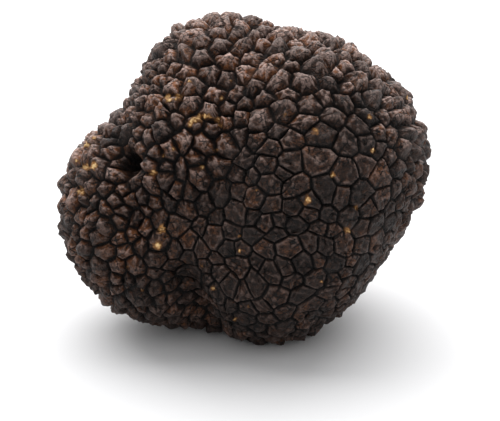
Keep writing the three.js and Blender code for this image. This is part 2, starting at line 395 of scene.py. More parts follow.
@dataclass
class WartLayout:
    """Where the warts are: middles, pitches, groove corners and the sides between them.

    Attributes:
        body: The shape that they cover.
        size_zones: Where they are larger or smaller.
        flat_zones: Where they have flat tops.
        neighbours: How many of the nearest warts are tried for each groove corner.
        middles: Middle of each wart on the uncut body.
        pitches: Wanted spacing round each wart.
        triples: Three neighbouring warts for each groove corner, anticlockwise from outside.
        corners: Place of each groove corner on the uncut body.
        sides: Wart, start corner and end corner of every side.
    """

    body: Body
    size_zones: tuple[Zone, ...] = (
        Zone((15, -17, 29), 12, 0.04),
        Zone((-6, -14, 8), 14, -0.14),
        Zone((-19, -9, 27), 8, -0.22),
        Zone((4, -2, 46), 15, 0.14),
        Zone((6, 34, 20), 20, 0.2),
    )
    flat_zones: tuple[Zone, ...] = (
        Zone((10, -19, 25.5), 16, 2),
        Zone((-5, -14, 9), 13, 0.8),
        Zone((-10, -14, 20), 7, 0.7),
        Zone((20, -10, 9), 12, 0.8),
    )
    neighbours: int = 26
    middles: np.ndarray = field(init=False)
    pitches: np.ndarray = field(init=False)
    triples: np.ndarray = field(init=False)
    corners: np.ndarray = field(init=False)
    sides: np.ndarray = field(init=False)

    def __post_init__(self) -> None:
        """Places the warts, evens them out and finds the groove net between them."""
        self.place()
        self.even_out()
        self.triples = self.find_triples(unit(self.middles - CORE))
        self.corners = self.body.point(self.corner_directions())
        self.sides = self.find_sides()

    def place(self) -> None:
        """Keeps each trial point that is far enough from all those kept before it."""
        index = np.arange(1, TRIAL_POINTS + 1)
        height = 1 - 2 * scatter(index, Purpose.TRIAL_HEIGHT)
        turn = 2 * math.pi * scatter(index, Purpose.TRIAL_TURN)
        ring = np.sqrt(1 - height * height)
        trials = self.body.point(np.stack([ring * np.cos(turn), ring * np.sin(turn), height], -1))
        spread = 1 + summed(self.size_zones, trials)
        own = 1 + PITCH_SCATTER * (scatter(index, Purpose.PITCH) - 0.5)
        pitch = WART_PITCH * spread * own
        kept: list[int] = []
        for trial in range(TRIAL_POINTS):
            gaps = np.linalg.norm(trials[kept] - trials[trial], axis=-1)
            if (gaps >= SMALLEST_GAP * (pitch[kept] + pitch[trial]) / 2).all():
                kept.append(trial)
        self.middles = trials[kept]
        self.pitches = pitch[kept]

    def even_out(self) -> None:
        """Middles push each other apart: the push falls with the square of the closeness."""
        reach = EVENING_REACH * (self.pitches[:, None] + self.pitches) / 2
        for _ in range(EVENING_ROUNDS):
            apart = self.middles[:, None] - self.middles
            gap = np.linalg.norm(apart, axis=-1)
            np.fill_diagonal(gap, np.inf)
            strength = np.clip(1 - gap / reach, 0, None) ** 2 / gap
            push = (apart * strength[..., None]).sum(1) * EVENING_RATE * self.pitches[:, None]
            self.middles = self.body.point(unit(self.middles + push - CORE))

    def find_triples(self, directions: np.ndarray) -> np.ndarray:
        """Three warts meet in a corner if no other lies beyond the plane of their directions.

        A closed net has twice as many corners as warts, less four.

        Args:
            directions: Unit vector from the core to each wart.

        Returns:
            Rows of three wart numbers, anticlockwise seen from outside.
        """
        near = np.argsort(-directions @ directions.T, axis=1)[:, 1 : self.neighbours + 1]
        left, right = np.triu_indices(self.neighbours, 1)
        first = np.repeat(np.arange(len(directions)), len(left))
        second, third = near[:, left].ravel(), near[:, right].ravel()
        once = (first < second) & (first < third)
        first, second, third = first[once], second[once], third[once]
        corner = directions[first]
        normal = np.cross(directions[second] - corner, directions[third] - corner)
        turned = (normal * corner).sum(-1) < 0
        normal = np.where(turned[:, None], -normal, normal)
        second, third = np.where(turned, third, second), np.where(turned, second, third)
        above = np.einsum("tc,toc->to", normal, directions[near[first]] - corner[:, None])
        free = (above < PLANE_SLACK).all(1)
        found = np.stack([first, second, third], -1)[free]
        if len(found) != 2 * len(directions) - 4:
            raise ValueError("the groove net doesn't close round the truffle")
        return found

    def corner_directions(self) -> np.ndarray:
        """Corners near the circle centre of their three warts, pushed from the bigger ones.

        Returns:
            Unit vector from the core to each corner.
        """
        places = self.middles[self.triples]
        ahead = unit(np.roll(places, -1, axis=1) - places)
        behind = unit(np.roll(places, 1, axis=1) - places)
        share = np.sin(2 * np.arccos(np.clip((ahead * behind).sum(-1), -1, 1)))
        share = share / share.sum(1, keepdims=True)
        blended = (1 - CORNER_ROUND) * share + CORNER_ROUND / 3
        code = self.triples * CODE_STEP + self.triples.sum(1, keepdims=True)
        pull = 1 + CORNER_SCATTER * scatter(code, Purpose.CORNER)
        weight = np.maximum(blended, LEAST_SHARE) * pull / self.pitches[self.triples]
        mean = (places * weight[..., None]).sum(1) / weight.sum(1, keepdims=True)
        return unit(mean - CORE)

    def find_sides(self) -> np.ndarray:
        """Pairs each edge between two neighbours with its two groove corners.

        Returns:
            Rows of wart, start corner, end corner; each groove appears once for each wart.
        """
        count = len(self.middles)
        wart = self.triples.ravel()
        other = np.roll(self.triples, -1, axis=1).ravel()
        corner = np.repeat(np.arange(len(self.triples)), 3)
        code = wart * count + other
        order = np.argsort(code)
        back = order[np.searchsorted(code[order], other * count + wart)]
        return np.stack([wart, corner[back], corner], -1)

    def flat_reach(self, points: np.ndarray) -> np.ndarray:
        """How strongly the flat zones reach to places of the body, summed."""
        return summed(self.flat_zones, points)

    def flatness(self) -> np.ndarray:
        """1 for the flat-topped warts, 0 for those with a peak."""
        return np.clip(self.flat_reach(self.middles) - FLAT_FADE, 0, 1)

    def rim_heights(self, wart: np.ndarray, corner: np.ndarray) -> np.ndarray:
        """Height of warts' rims next to groove corners.

        Args:
            wart: Wart numbers.
            corner: Corner numbers, one for each.

        Returns:
            Heights over the groove floor.
        """
        flat = self.flatness()[wart]
        code = wart * CODE_STEP + self.triples[corner].sum(-1)
        uneven = 1 + RIM_SCATTER * (scatter(code, Purpose.RIM) - 0.5)
        return (PEAKED_RIM + (FLAT_RIM - PEAKED_RIM) * flat) * uneven

    def middle_heights(self) -> np.ndarray:
        """Height of each wart's middle, levelling off towards the tallest.

        Returns:
            Heights over the groove floors.
        """
        spread = 1 + MIDDLE_SCATTER * (scatter(np.arange(len(self.middles)), Purpose.MIDDLE) - 0.5)
        peak = PEAKED_MIDDLE * self.pitches / WART_PITCH
        height = (peak + (FLAT_MIDDLE - peak) * self.flatness()) * spread
        return TALLEST_MIDDLE * np.tanh(height / TALLEST_MIDDLE)

    def shift(self) -> np.ndarray:
        """The move that stands the solid's box centred on the origin.

        Returns:
            Vector to add to every place worked out here.
        """
        rimmed = self.flat_reach(self.middles)[self.sides[:, 0]] >= RIMMED_FROM
        wart, corner = self.sides[rimmed, 0], self.sides[rimmed, 1]
        places, middles = self.corners[corner], self.middles[wart]
        reach = np.linalg.norm(places - middles, axis=-1)
        share = np.minimum(GROOVE_HALF / reach, INSET_LIMIT)[:, None]
        rims = unit(places + (middles - places) * share - CORE)
        peaks = unit(self.middles - CORE)
        floors = unit(self.corners - CORE)
        solid = np.concatenate(
            [
                settle(self.body.skin(floors, np.zeros(len(floors)))),
                settle(self.body.skin(rims, self.rim_heights(wart, corner))),
                settle(self.body.skin(peaks, self.middle_heights())),
            ]
        )
        low, high = solid.min(0), solid.max(0)
        return np.array((-(low[0] + high[0]) / 2, -(low[1] + high[1]) / 2, -low[2]))


@dataclass
class SideGrid:
    """The triangular grid that every side of a wart is cut into.

    Attributes:
        levels: Share of the way from the groove to the middle, by row, on a flat wart.
        knob_levels: The same on a peaked one, with more rows near the peak.
        inward: Share inward of each point of the grid, on a flat wart.
        knob_inward: The same on a peaked one.
        along: Share of the way along the groove, for each point.
        faces: Triangles between the points.
    """

    levels: tuple[float, ...] = (0, 0.085, 0.19, 0.34, 0.54, 0.77, 1)
    knob_levels: tuple[float, ...] = (0, 0.12, 0.27, 0.45, 0.63, 0.82, 1)
    inward: np.ndarray = field(init=False)
    knob_inward: np.ndarray = field(init=False)
    along: np.ndarray = field(init=False)
    faces: np.ndarray = field(init=False)

    def __post_init__(self) -> None:
        """Numbers the points row by row and joins each row to the next."""
        last = len(self.levels) - 1
        rows = [last + 1 - row for row in range(last + 1)]
        starts = np.concatenate([[0], np.cumsum(rows)])
        self.inward = np.repeat(self.levels, rows)
        self.knob_inward = np.repeat(self.knob_levels, rows)
        self.along = np.concatenate([np.linspace(0, 1, n) if n > 1 else [0.5] for n in rows])
        faces = []
        for row in range(last):
            here, above = starts[row], starts[row + 1]
            step = np.arange(rows[row] - 1)
            faces.append(np.stack([here + step, here + step + 1, above + step], -1))
            inner = step[:-1]
            faces.append(np.stack([here + inner + 1, above + inner + 1, above + inner], -1))
        self.faces = np.concatenate(faces)


@dataclass(frozen=True)
class Wall:
    """The steep wall between a groove and a wart's top, and the groove's floor.

    Attributes:
        width: Distance over which the wall would climb if it were crisp.
        slack: How many times wider it is.
        unevenness: How much the width varies on flat warts.
        power: How flat the wall starts.
        variation: Where the width varies.
        wander: How far the floor rises and falls.
        sink: How far it lies below the furrowed body on the mean.
        floor: Where it rises and falls.
    """

    width: float = 0.15
    slack: float = 1.8
    unevenness: float = 1.0
    power: float = 1.5
    variation: Noise = Noise(2.3, 11)
    wander: float = 0.12
    sink: float = 0.08
    floor: Noise = Noise(3.1, 5)

    def climbed(self, places: np.ndarray, gap: np.ndarray, flat: np.ndarray) -> np.ndarray:
        """One minus an exponential of a power of the gap over the wall's width.

        Args:
            places: Places on the skin.
            gap: Distance of each from its groove.
            flat: 1 on flat warts, 0 on peaked ones.

        Returns:
            0 in the groove, 1 on the wart.
        """
        width = self.width * (self.slack + self.unevenness * flat * self.variation.at(places))
        return 1 - np.exp(-((gap / width) ** self.power))

    def floor_height(self, places: np.ndarray) -> np.ndarray:
        """Height of the groove's floor over the furrowed body."""
        return self.wander * self.floor.at(places) - self.sink


@dataclass(frozen=True)
class Knob:
    """The top of a peaked wart.

    Attributes:
        foot: Height at which the climb starts, as a share of the rim.
        first_end: Share of the way after which the climb ends at the earliest.
        later_end: How much later it ends at the latest.
        rounding: Power by which the climb slackens.
        hold: Power by which it starts slowly, half way between ridge and gully.
        ridge: How much a ridge lowers that power and a gully raises it.
        dent: Scale of the dent or nub in the middle.
        dented: Share of the knobs that have a dent, and not a nub.
        dent_reach: How far the dent reaches, as a share of the way.
    """

    foot: float = 0.75
    first_end: float = 0.6
    later_end: float = 0.3
    rounding: float = 1.9
    hold: float = 1.6
    ridge: float = 0.85
    dent: float = 0.5
    dented: float = 0.75
    dent_reach: float = 0.3

    def height(
        self,
        wart: np.ndarray,
        rim: np.ndarray,
        middle: np.ndarray,
        top: np.ndarray,
        fold: np.ndarray,
    ) -> np.ndarray:
        """It climbs quickly along its ridges and slowly between them.

        The climb is a rounded power of the way in that ends before the middle, where a bell-shaped
        dent or nub stands.

        Args:
            wart: Wart numbers.
            rim: Height of the rim.
            middle: Height at which the climb ends.
            top: Way from rim to middle, 0 to 1.
            fold: Ridges and gullies, as given by WartSkin.folds.

        Returns:
            One height for each point.
        """
        cap = scatter(wart, Purpose.CAP)
        way = np.minimum(top / (self.first_end + self.later_end * cap), 1)
        climb = (1 - (1 - way) ** self.rounding) ** (self.hold - self.ridge * fold)
        dent = (self.dented - cap) * np.exp(-(((1 - top) / self.dent_reach) ** 2))
        foot = self.foot * rim
        return foot + (middle - foot) * climb - self.dent * dent


@dataclass(frozen=True)
class Plate:
    """The top of a flat wart.

    Attributes:
        lip: Height of the worn lip along the rim.
        lip_place: Distance of the lip from the groove.
        lip_width: How far the lip reaches to either side.
        dish: How far the top sinks between rim and middle.
        fold: How far the folds that run in from the corners lift or lower it.
        breadth: Power that broadens dish and folds as it falls below 1.
        way_limit: Where the way is cut off, so that the sine stays above 0.
        tilt: How steeply the top leans to one side.
    """

    lip: float = 0.1
    lip_place: float = 0.36
    lip_width: float = 0.2
    dish: float = 0.24
    fold: float = 0.22
    breadth: float = 0.7
    way_limit: float = 0.999
    tilt: float = 0.3

    def height(
        self,
        gap: np.ndarray,
        rim: np.ndarray,
        middle: np.ndarray,
        top: np.ndarray,
        fold: np.ndarray,
        lean: np.ndarray,
    ) -> np.ndarray:
        """A bell-shaped lip, a straight slope to the middle, a half sine of dish and folds, a tilt.

        Args:
            gap: Distance from the groove.
            rim: Height of the rim.
            middle: Height of the middle.
            top: Way from rim to middle, 0 to 1.
            fold: Ridges and gullies, as given by WartSkin.folds.
            lean: How far each point lies on the side to which the wart leans.

        Returns:
            One height for each point.
        """
        lip = self.lip * np.exp(-(((gap - self.lip_place) / self.lip_width) ** 2))
        hollow = np.sin(math.pi * np.minimum(top, self.way_limit)) ** self.breadth
        bend = (self.fold * fold - self.dish) * hollow
        return rim + lip + (middle - rim) * top + bend + self.tilt * lean


@dataclass(frozen=True)
class Crumple:
    """Small folds, bumps and thin creases on the tops of the warts.

    Attributes:
        folds: Where the small folds run.
        fold_level: Height of a fold's crest, before it is scaled.
        fold_fall: How fast it falls to either side.
        knob_folds: How strong the folds are on a knob.
        plate_folds: How much weaker they are on a flat top.
        bumps: Where the bumps are.
        knob_bumps: How high they are on a knob.
        plate_bumps: How much lower they are on a flat top.
        creases: Where the creases run.
        crease_width: How wide a crease is, in units of its noise.
        crease_depth: How deep a crease is.
        crease_middle: Share of the way at which creases are deepest.
        crease_fade: How fast they fade towards rim and middle.
    """

    folds: Noise = Noise(1.15, 3)
    fold_level: float = 0.5
    fold_fall: float = 2.2
    knob_folds: float = 0.34
    plate_folds: float = 0.2
    bumps: Noise = Noise(0.55, 4)
    knob_bumps: float = 0.2
    plate_bumps: float = 0.08
    creases: Noise = Noise(1.4, 6)
    crease_width: float = 0.09
    crease_depth: float = 0.2
    crease_middle: float = 0.5
    crease_fade: float = 6.0

    def height(self, places: np.ndarray, top: np.ndarray, flat: np.ndarray) -> np.ndarray:
        """Crests where a noise is near 0, plus finer noise, less creases where another is near 0.

        Args:
            places: Places on the skin.
            top: Way from rim to middle, 0 to 1.
            flat: 1 on flat warts, 0 on peaked ones.

        Returns:
            Height to add at each place.
        """
        crest = self.fold_level - self.fold_fall * np.abs(self.folds.at(places))
        fine = self.bumps.at(places)
        line = np.exp(-((self.creases.at(places) / self.crease_width) ** 2))
        crease = line * np.exp(-self.crease_fade * (top - self.crease_middle) ** 2)
        coarse = (self.knob_folds - self.plate_folds * flat) * crest
        return coarse + (self.knob_bumps - self.plate_bumps * flat) * fine - self.crease_depth * crease


@dataclass(frozen=True)
class Nick:
    """Short cuts that run from some groove corners towards the middle of a wart.

    Attributes:
        depth: Depth of a cut, as a share of the wart's height.
        spared: Share of the corners that have none.
        narrowness: One over the share of the groove's length in which a cut fades.
        reach: How far it runs in, as a share of the way to the middle.
        bluntness: Power by which its depth falls along that way.
    """

    depth: float = 0.55
    spared: float = 0.84
    narrowness: float = 5.0
    reach: float = 0.6
    bluntness: float = 0.5

    def cut(self, spots: dict[str, np.ndarray]) -> np.ndarray:
        """A ramp to either side of the cut, times a power of a ramp towards the middle.

        Args:
            spots: Points as given by WartSkin.spread.

        Returns:
            1 at the corner, fading to 0 further in and to either side of the cut.
        """
        sides = ((spots["start"], spots["along"]), (spots["end"], 1 - spots["along"]))
        cut = np.zeros(len(spots["wart"]))
        for corner, away in sides:
            chosen = scatter(spots["wart"] * TOP_CODE_STEP + corner, Purpose.NICK) > self.spared
            cut = np.maximum(cut, chosen * np.clip(1 - self.narrowness * away, 0, 1))
        return cut * np.clip(1 - spots["inward"] / self.reach, 0, 1) ** self.bluntness


@dataclass(frozen=True)
class Portrait:
    """The camera, which stands in front of the truffle and looks down on it.

    Attributes:
        elevation: How far it looks down, in degrees.
        distance: From the lens to its aim, in millimetres.
        width_seen: Width of the view at its aim, in millimetres.
        aim: The place in the middle of the view, in millimetres.
        sensor: Width of the sensor, in millimetres.
        nearest: Distance from which things are seen, in metres.
    """

    elevation: float = 22.0
    distance: float = 450.0
    width_seen: float = 81.4
    aim: tuple[float, float, float] = (1.0, 0.0, 18.1)
    sensor: float = 36.0
    nearest: float = 0.01

    def back(self) -> np.ndarray:
        """Unit vector from what is looked at towards the eye."""
        tilt = math.radians(self.elevation)
        return np.array((0, -math.cos(tilt), math.sin(tilt)))

    def seen(self, points: np.ndarray) -> tuple[np.ndarray, np.ndarray]:
        """Where points stand in the front view, measured at the depth of its aim.

        Args:
            points: Places in the row frame.

        Returns:
            Distances across and up from the aim.
        """
        right = np.array((1.0, 0.0, 0.0))
        offset = points - np.array(self.aim)
        grow = self.distance / (self.distance - offset @ self.back())
        return offset @ right * grow, offset @ np.cross(self.back(), right) * grow

    def place(self) -> None:
        """Adds the camera and makes it the scene's own."""
        back = self.back()
        data = bpy.data.cameras.new("portrait")
        data.sensor_width = self.sensor
        data.lens = self.sensor * self.distance / self.width_seen
        data.clip_start = self.nearest
        camera = bpy.data.objects.new("portrait", data)
        camera.location = (np.array(self.aim) + back * self.distance) * METRES
        camera.rotation_euler = (math.radians(90 - self.elevation), 0, 0)
        bpy.context.scene.collection.objects.link(camera)
        bpy.context.scene.camera = camera
        LOG.info("portrait: %.0f mm away, %.0f degrees up", self.distance, self.elevation)


@dataclass(frozen=True)
class Fleck:
    """A patch of bare ochre flesh, placed in the front view in millimetres.

    Attributes:
        across: Place across the view, from its middle.
        up: Place up the view.
        radius: Distance over which it fades.
    """

    across: float
    up: float
    radius: float


@dataclass(frozen=True)
class Flecks:
    """Bare flesh: named flecks in the front, and a few at random places on the far sides.

    Attributes:
        view: The front view in which the named ones are placed.
        least_strength: Strength that a named fleck would have without any width.
        strength_gain: How much stronger it is for each millimetre of its radius.
        front_from: How far skin must look towards the view to carry a named one.
        far_until: How far it may, to carry a random one.
        spared: Share of the warts that have no random one.
        least_radius: Radius of the smallest random one.
        radius_spread: How much wider the widest is.
        named: The named ones.
    """

    view: Portrait = Portrait()
    least_strength: float = 0.62
    strength_gain: float = 0.5
    front_from: float = 0.15
    far_until: float = 0.1
    spared: float = 0.955
    least_radius: float = 0.4
    radius_spread: float = 0.6
    named: tuple[Fleck, ...] = (
        Fleck(-13.4, 18.2, 0.8),
        Fleck(-11.6, 18.5, 0.8),
        Fleck(-9.8, 14.1, 0.7),
        Fleck(-9.1, 14.8, 0.7),
        Fleck(-8.3, 15.1, 0.7),
        Fleck(-7.5, 15.3, 0.6),
        Fleck(-6.5, 15.4, 0.5),
        Fleck(-5.3, 14.7, 0.6),
        Fleck(-4.9, 13.9, 0.5),
        Fleck(-26.7, 10.7, 0.8),
        Fleck(-25.4, 11.8, 0.6),
        Fleck(-26.7, 7.0, 0.85),
        Fleck(-25.4, 7.3, 0.85),
        Fleck(-27.5, 3.2, 0.8),
        Fleck(-28.3, 8.2, 0.5),
        Fleck(-14.3, -3.2, 1.0),
        Fleck(-15.0, -5.6, 0.9),
        Fleck(-9.8, 21.2, 0.5),
        Fleck(-3.1, 21.2, 0.5),
        Fleck(-4.6, 18.3, 0.5),
        Fleck(-7.8, 7.2, 0.6),
        Fleck(-15.8, 6.1, 0.7),
        Fleck(-14.1, 8.9, 0.5),
        Fleck(-12.4, 10.1, 0.5),
        Fleck(-5.5, 9.8, 0.5),
        Fleck(5.7, 15.4, 0.5),
        Fleck(10.6, 12.8, 0.7),
        Fleck(19.4, 15.4, 0.6),
        Fleck(20.0, 9.8, 0.6),
        Fleck(13.5, 5.8, 0.6),
        Fleck(9.3, 1.7, 0.8),
        Fleck(1.1, 3.2, 0.4),
        Fleck(17.3, 0.4, 0.5),
        Fleck(15.8, -3.3, 0.7),
        Fleck(-1.8, -4.2, 0.4),
        Fleck(-1.8, -6.6, 0.4),
        Fleck(-19.9, -9.2, 0.4),
        Fleck(-17.5, -12.9, 0.4),
        Fleck(-7.8, -9.2, 0.4),
        Fleck(-6.0, -12.6, 0.5),
        Fleck(-0.3, -15.7, 0.5),
        Fleck(11.7, -11.6, 0.4),
        Fleck(-2.4, -17.7, 0.4),
        Fleck(25.6, 18.3, 0.4),
        Fleck(22.7, 21.2, 0.4),
    )

    def front(self, places: np.ndarray, toward: np.ndarray) -> np.ndarray:
        """The strongest of the bells round the named flecks, on skin that looks to the front.

        Args:
            places: The raised skin, in the row frame.
            toward: How far each place looks towards the view.

        Returns:
            Values from 0 to 1.
        """
        across, up = self.view.seen(places)
        strength = np.zeros(len(places))
        for fleck in self.named:
            gap = np.hypot(across - fleck.across, up - fleck.up) / fleck.radius
            most = min(1, self.least_strength + self.strength_gain * fleck.radius)
            strength = np.maximum(strength, np.exp(-(gap**2)) * most)
        return strength * (toward > self.front_from)

    def far(self, wart: np.ndarray, away: np.ndarray, toward: np.ndarray) -> np.ndarray:
        """Bells on a few warts whose skin looks to the sides or back.

        Args:
            wart: Wart numbers.
            away: From the place that a fleck has on its wart to each point.
            toward: How far each place looks towards the view.

        Returns:
            Values from 0 to 1.
        """
        chosen = scatter(wart, Purpose.FLECK) > self.spared
        radius = self.least_radius + self.radius_spread * scatter(wart, Purpose.FLECK_SIZE)
        gap = np.linalg.norm(away, axis=-1) / radius
        return np.exp(-(gap**2)) * chosen * (toward < self.far_until)


@dataclass(frozen=True)
class Shading:
    """How the marks that the finish reads are taken from the form of the skin.

    Attributes:
        groove: How far the painted shade of a groove reaches from it, by a knob.
        plate_groove: How much less far it reaches by a flat top.
        body_share: How much the body's own slope counts beside the skin's in what looks up.
        upward_full: Upward part of the normal from which skin counts as looking up.
        deep_furrows: Furrows that get painted shade in their depth.
        deep_full: Depth of a cut that adds 1 to the painted shade.
        deep_from: What is taken off, so that shallow cuts aren't darkened.
        painted_light_zones: Painted light and shade: where the skin is made a little lighter or
            darker.
        rust_zones: Where there is a little more rust, or less.
    """

    groove: float = 0.31
    plate_groove: float = 0.05
    body_share: float = 0.4
    upward_full: float = 0.95
    deep_furrows: tuple[str, ...] = ("pit", "seam")
    deep_full: float = 2.4
    deep_from: float = 0.35
    # Painted light on the left lobe and the top, painted shade by the notch and on the upper right.
    painted_light_zones: tuple[Zone, ...] = (
        Zone((-22, -8, 20), 15, 0.3),
        Zone((-23, -3, 33), 7, -0.45),
        Zone((15, -13, 39), 10, -0.36),
        Zone((-7.5, -2, 44.5), 9, 0.22),
    )
    rust_zones: tuple[Zone, ...] = (
        Zone((-22, -8, 22), 15, 0.07),
        Zone((-8, 0, 42), 11, 0.03),
        Zone((0, -17, 17), 13, -0.08),
    )

    def groove_dark(self, gap: np.ndarray, flat: np.ndarray) -> np.ndarray:
        """Painted shade by the groove: a bell curve of the distance from it."""
        return np.exp(-((gap / (self.groove - self.plate_groove * flat)) ** 2))

    def upward(self, normals: np.ndarray, facing: np.ndarray) -> np.ndarray:
        """S-curve of the upward part of the mean of the body's and the skin's own normal, for painted
        light from above.
        """
        mean = unit(self.body_share * normals + (1 - self.body_share) * facing)
        return smooth_step(mean[:, 2], 0.0, self.upward_full)

    def deep(self, body: Body, points: np.ndarray) -> np.ndarray:
        """Painted shade in the depth of the deep furrows: the depth of their cut, scaled and clipped.
        """
        cut = sum(f.cut(points) for f in body.furrows if f.name in self.deep_furrows)
        return np.clip(cut / self.deep_full - self.deep_from, 0, 1)


@dataclass
class WartSkin:
    """The whole visible skin, one closed mesh.

    Attributes:
        layout: Where the warts are.
        grid: How each side of a wart is cut up.
        wall: Its groove walls and floors.
        knob: Its peaked tops.
        plate: Its flat tops.
        crumple: Its roughness.
        nick: Its cuts.
        flecks: Its bare flesh.
        shading: What its finish reads.
        rim_gap: Distance from the groove at which the top of a wart begins.
        least_top: Shortest way from there to the middle.
        fold_swing: How far the highest ridge lies above the deepest gully, which is at -1.
        lean: How far a wart's top leans from its middle, as a share of the pitch.
        weave: How far the grooves wander.
        weave_calm: How much less they do where the flat zones reach once.
        calm_limit: How often that counts at most.
        weave_noises: Where they wander, along each axis.
    """

    layout: WartLayout
    grid: SideGrid = field(default_factory=SideGrid)
    wall: Wall = Wall()
    knob: Knob = Knob()
    plate: Plate = Plate()
    crumple: Crumple = Crumple()
    nick: Nick = Nick()
    flecks: Flecks = Flecks()
    shading: Shading = Shading()
    rim_gap: float = 0.25
    least_top: float = 0.3
    fold_swing: float = 2.4
    lean: float = 0.46
    weave: float = 0.22
    weave_calm: float = 0.35
    calm_limit: float = 2.0
    weave_noises: tuple[Noise, ...] = (Noise(1.7, 7), Noise(1.7, 8), Noise(1.7, 9))

    def leans(self) -> np.ndarray:
        """Which way each wart leans, at random.

        Returns:
            One vector for each wart, with parts from -0.5 to 0.5.
        """
        index = np.arange(len(self.layout.middles))
        parts = (Purpose.LEAN_X, Purpose.LEAN_Y, Purpose.LEAN_Z)
        return np.stack([scatter(index, part) for part in parts], -1) - 0.5

    def spread(self) -> dict[str, np.ndarray]:
        """Points of all the sides on straight chords, with seams shared.

        Each point is the mix of a place along the groove and the wart's leaning middle.

        Returns:
            Places, faces, and for each point its wart, its two corners, its shares along the
            groove and inward, its distance from the groove and that of the middle.
        """
        layout, grid = self.layout, self.grid
        wart, start, end = layout.sides.T
        middles = layout.middles + self.leans() * self.lean * layout.pitches[:, None]
        a, b, c = layout.corners[start], layout.corners[end], middles[wart]
        flat = layout.flatness()[wart][:, None]
        inward = grid.knob_inward * (1 - flat) + grid.inward * flat
        along = grid.along[None, :, None]
        edge = a[:, None] * (1 - along) + b[:, None] * along
        places = edge * (1 - inward[..., None]) + c[:, None] * inward[..., None]
        span = np.linalg.norm(edge - c[:, None], axis=-1)
        rows = places.reshape(-1, 3)
        rounded = np.round(rows, SEAM_DIGITS)
        _, first, back = np.unique(rounded, axis=0, return_index=True, return_inverse=True)
        count = len(grid.inward)
        faces = (np.arange(len(wart))[:, None, None] * count + grid.faces).reshape(-1, 3)
        spots = {
            "wart": np.repeat(wart, count),
            "start": np.repeat(start, count),
            "end": np.repeat(end, count),
            "along": np.tile(grid.along, len(wart)),
            "inward": inward.ravel(),
            "gap": (span * inward).ravel(),
            "span": span.ravel(),
        }
        chosen = {name: values[first] for name, values in spots.items()}
        return chosen | {"places": rows[first], "faces": back.ravel()[faces]}

    def folds(self, spots: dict[str, np.ndarray]) -> np.ndarray:
        """Ridges and gullies that run in from the corners: a random number at each corner.

        Args:
            spots: Points as given by spread.

        Returns:
            From -1 in a gully to 1.4 on a ridge, and 0 half way between two corners.
        """
        start, end = (
            self.fold_swing * scatter(spots["wart"] * TOP_CODE_STEP + spots[name], Purpose.RIDGE) - 1
            for name in ("start", "end")
        )
        turn = 2 * spots["along"] - 1
        return start * np.clip(-turn, 0, 1) + end * np.clip(turn, 0, 1)

    def rise(self, spots: dict[str, np.ndarray]) -> np.ndarray:
        """Height over the furrowed body: a wall up to a knob or a plate, less the nicks.

        Args:
            spots: Points as given by spread.

        Returns:
            One height for each point.
        """
        layout = self.layout
        wart, along, gap, places = (spots[name] for name in ("wart", "along", "gap", "places"))
        flat = layout.flatness()[wart]
        start, end = (layout.rim_heights(wart, spots[name]) for name in ("start", "end"))
        rim = start + (end - start) * along
        middle = layout.middle_heights()[wart]
        top = (gap - self.rim_gap) / np.maximum(spots["span"] - self.rim_gap, self.least_top)
        top = np.clip(top, 0, 1)
        fold = self.folds(spots)
        lean = ((places - layout.middles[wart]) * self.leans()[wart]).sum(-1)
        knob = self.knob.height(wart, rim, middle, top, fold)
        plate = self.plate.height(gap, rim, middle, top, fold, lean)
        height = knob + (plate - knob) * flat
        wall = self.wall.climbed(places, gap, flat)
        rise = wall * (height + self.crumple.height(places, top, flat))
        rise = rise + (1 - wall) * self.wall.floor_height(places)
        return rise - self.nick.depth * self.nick.cut(spots) * height

    def build(self, shift: np.ndarray) -> bpy.types.Object:
        """Makes the closed mesh, raises it and records what its finish reads.

        Args:
            shift: Move from the body's own frame to the row frame.

        Returns:
            The mesh object.
        """
        spots = self.spread()
        places = spots["places"]
        weave = np.stack([noise.at(places) for noise in self.weave_noises], -1)
        calm = self.weave_calm * np.minimum(self.layout.flat_reach(places), self.calm_limit)
        weave *= self.weave * (1 - calm)[:, None]
        directions = unit(places + weave - CORE)
        skin = settle(self.layout.body.skin(directions, self.rise(spots)))
        mesh = bpy.data.meshes.new("truffle_skin")
        self.write_mesh(mesh, (skin + shift) * METRES, spots["faces"])
        facing = np.zeros((len(skin), 3), dtype=np.float32)
        mesh.vertices.foreach_get("normal", facing.reshape(-1))
        for name, value in self.marks(spots, skin, shift, directions, facing).items():
            attribute = mesh.attributes.new(name, "FLOAT", "POINT")
            attribute.data.foreach_set("value", value.astype(np.float32))
        skin_object = bpy.data.objects.new("truffle_skin", mesh)
        bpy.context.scene.collection.objects.link(skin_object)
        LOG.info("truffle_skin: %d warts, %d triangles", len(self.layout.middles), len(spots["faces"]))
        return skin_object

